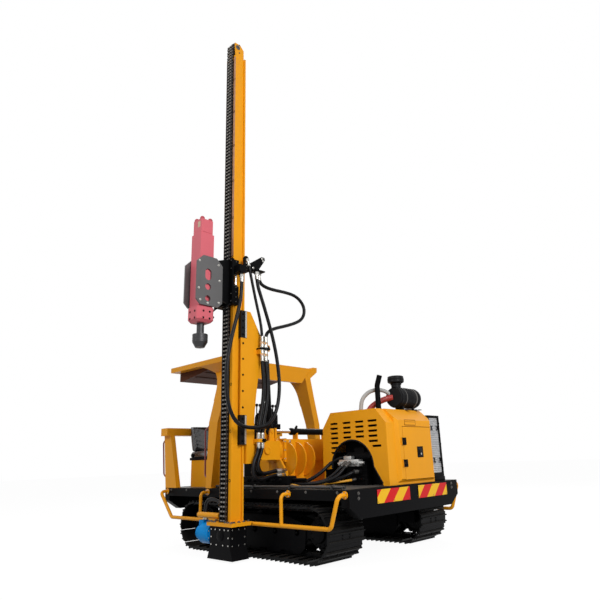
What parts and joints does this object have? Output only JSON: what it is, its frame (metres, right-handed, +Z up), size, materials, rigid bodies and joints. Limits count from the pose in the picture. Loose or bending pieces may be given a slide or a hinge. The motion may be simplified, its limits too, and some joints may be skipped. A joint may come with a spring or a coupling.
{
  "type": "pile driver rig on tracks with a side mast",
  "caption": "Tracked pile driver rig with a tall side mast, chain-fed hydraulic hammer, cross boom, hood and canopy",
  "frame": {"origin": "on the ground, under the middle of the machine's overall outline", "axes": "+X to the operator's end, +Y to the side that carries the mast, +Z up along the mast"},
  "size_m": [3.689, 3.237, 7.151],
  "materials": {
    "yellow_paint": "satin",
    "black_paint": "satin",
    "grey_paint": "satin",
    "red_paint": "gloss",
    "blue_paint": "gloss",
    "hammer_paint": "satin",
    "track_steel": "worn",
    "chain_steel": "oiled",
    "dark_steel": "worn",
    "chrome": "polished",
    "aluminium": "cast",
    "black_plastic": "matte",
    "seat_cover": "crinkled film",
    "hose_rubber": "matte"
  },
  "bodies": {
    "chassis": {"track_left": "track_steel", "track_right": "track_steel", "track_frame_left": "black_paint", "track_frame_right": "black_paint", "idlers": "black_paint", "drive_sprockets": "track_steel", "track_rollers": "black_paint", "cross_frame": "black_paint", "deck_frame": "yellow_paint", "deck_floor": "black_paint", "front_apron": "black_paint", "side_guard_left": "yellow_paint", "side_guard_right": "yellow_paint", "hood_left": "yellow_paint", "hood_right": "yellow_paint", "hood_cover": "yellow_paint", "engine_block": "black_paint", "hydraulic_pump": "aluminium", "cooler_frame": "black_paint", "cooler_core": "aluminium", "air_filter": "black_plastic", "pre_cleaner": "black_plastic", "exhaust": "black_paint", "canopy_frame": "yellow_paint", "canopy_roof": "yellow_paint", "front_guard": "yellow_paint", "handrails": "red_paint", "seat_box": "yellow_paint", "seat": "seat_cover", "control_stand": "black_paint", "hydraulic_tank": "black_paint", "boom_saddle": "yellow_paint", "outer_boom": "yellow_paint", "telescope_barrel": "black_paint"},
    "rear_door": {"rear_door": "yellow_paint", "door_latch": "black_plastic"},
    "boom": {"inner_boom": "yellow_paint", "telescope_rod": "chrome", "hose_boom_drop": "hose_rubber"},
    "yoke": {"yoke": "yellow_paint"},
    "tilt_barrel": {"tilt_barrel": "black_paint"},
    "tilt_rod": {"tilt_rod": "chrome"},
    "holder": {"mast_holder": "yellow_paint", "wear_pads": "black_plastic", "hose_holder_drop": "hose_rubber"},
    "mast": {"mast": "yellow_paint", "mast_foot": "black_paint", "feed_chain": "chain_steel", "chain_sprockets": "chain_steel", "feed_motor": "blue_paint", "motor_guard": "yellow_paint", "hose_arm": "black_paint", "hose_loop_out": "hose_rubber", "hose_loop_back": "hose_rubber", "hose_arched": "hose_rubber", "hose_bow": "hose_rubber"},
    "carriage": {"carriage": "black_paint", "hammer_plates": "grey_paint", "hammer_body": "hammer_paint"},
    "tool": {"drive_cap": "dark_steel"}
  },
  "joints": [
    {"name": "boom_extend", "type": "slide", "parent": "chassis", "child": "boom", "axis": [0, 1, 0], "range_m": [0, 0.5]},
    {"name": "mast_fold", "type": "hinge", "parent": "boom", "child": "yoke", "pos_m": [-0.24, 0.28, 1.19], "axis": [0, -1, 0], "range_deg": [-10, 90], "deforming": ["hose_boom_drop"]},
    {"name": "mast_tilt", "type": "hinge", "parent": "yoke", "child": "holder", "pos_m": [-0.24, 0.504, 1.19], "axis": [1, 0, 0], "range_deg": [0, 10], "deforming": ["hose_holder_drop"]},
    {"name": "tilt_cylinder_swing", "type": "hinge", "parent": "yoke", "child": "tilt_barrel", "pos_m": [-0.24, 0.33, 1.43], "axis": [1, 0, 0], "range_deg": [-0.5, 13.5]},
    {"name": "tilt_cylinder_stroke", "type": "slide", "parent": "tilt_barrel", "child": "tilt_rod", "axis": [0, 0.0555, 0.9985], "range_m": [-0.045, 0.002]},
    {"name": "mast_slide", "type": "slide", "parent": "holder", "child": "mast", "axis": [0, 0, 1], "range_m": [-0.3, 0.6], "deforming": ["hose_arched", "hose_bow"]},
    {"name": "hammer_feed", "type": "slide", "parent": "mast", "child": "carriage", "axis": [0, 0, 1], "range_m": [-2.3, 3.2], "deforming": ["hose_loop_back", "hose_loop_out"]},
    {"name": "tool_travel", "type": "slide", "parent": "carriage", "child": "tool", "axis": [0, 0, 1], "range_m": [0, 0.08]},
    {"name": "engine_door", "type": "hinge", "parent": "chassis", "child": "rear_door", "pos_m": [-1.84, -0.366, 1.1], "axis": [0, 0, -1], "range_deg": [0, 100]}
  ],
  "couplings": [
    {"joint": "tilt_cylinder_swing", "follows": "mast_tilt", "ratio": 1.2327},
    {"joint": "tilt_cylinder_stroke", "follows": "mast_tilt", "m_per_rad": -0.1611}
  ]
}
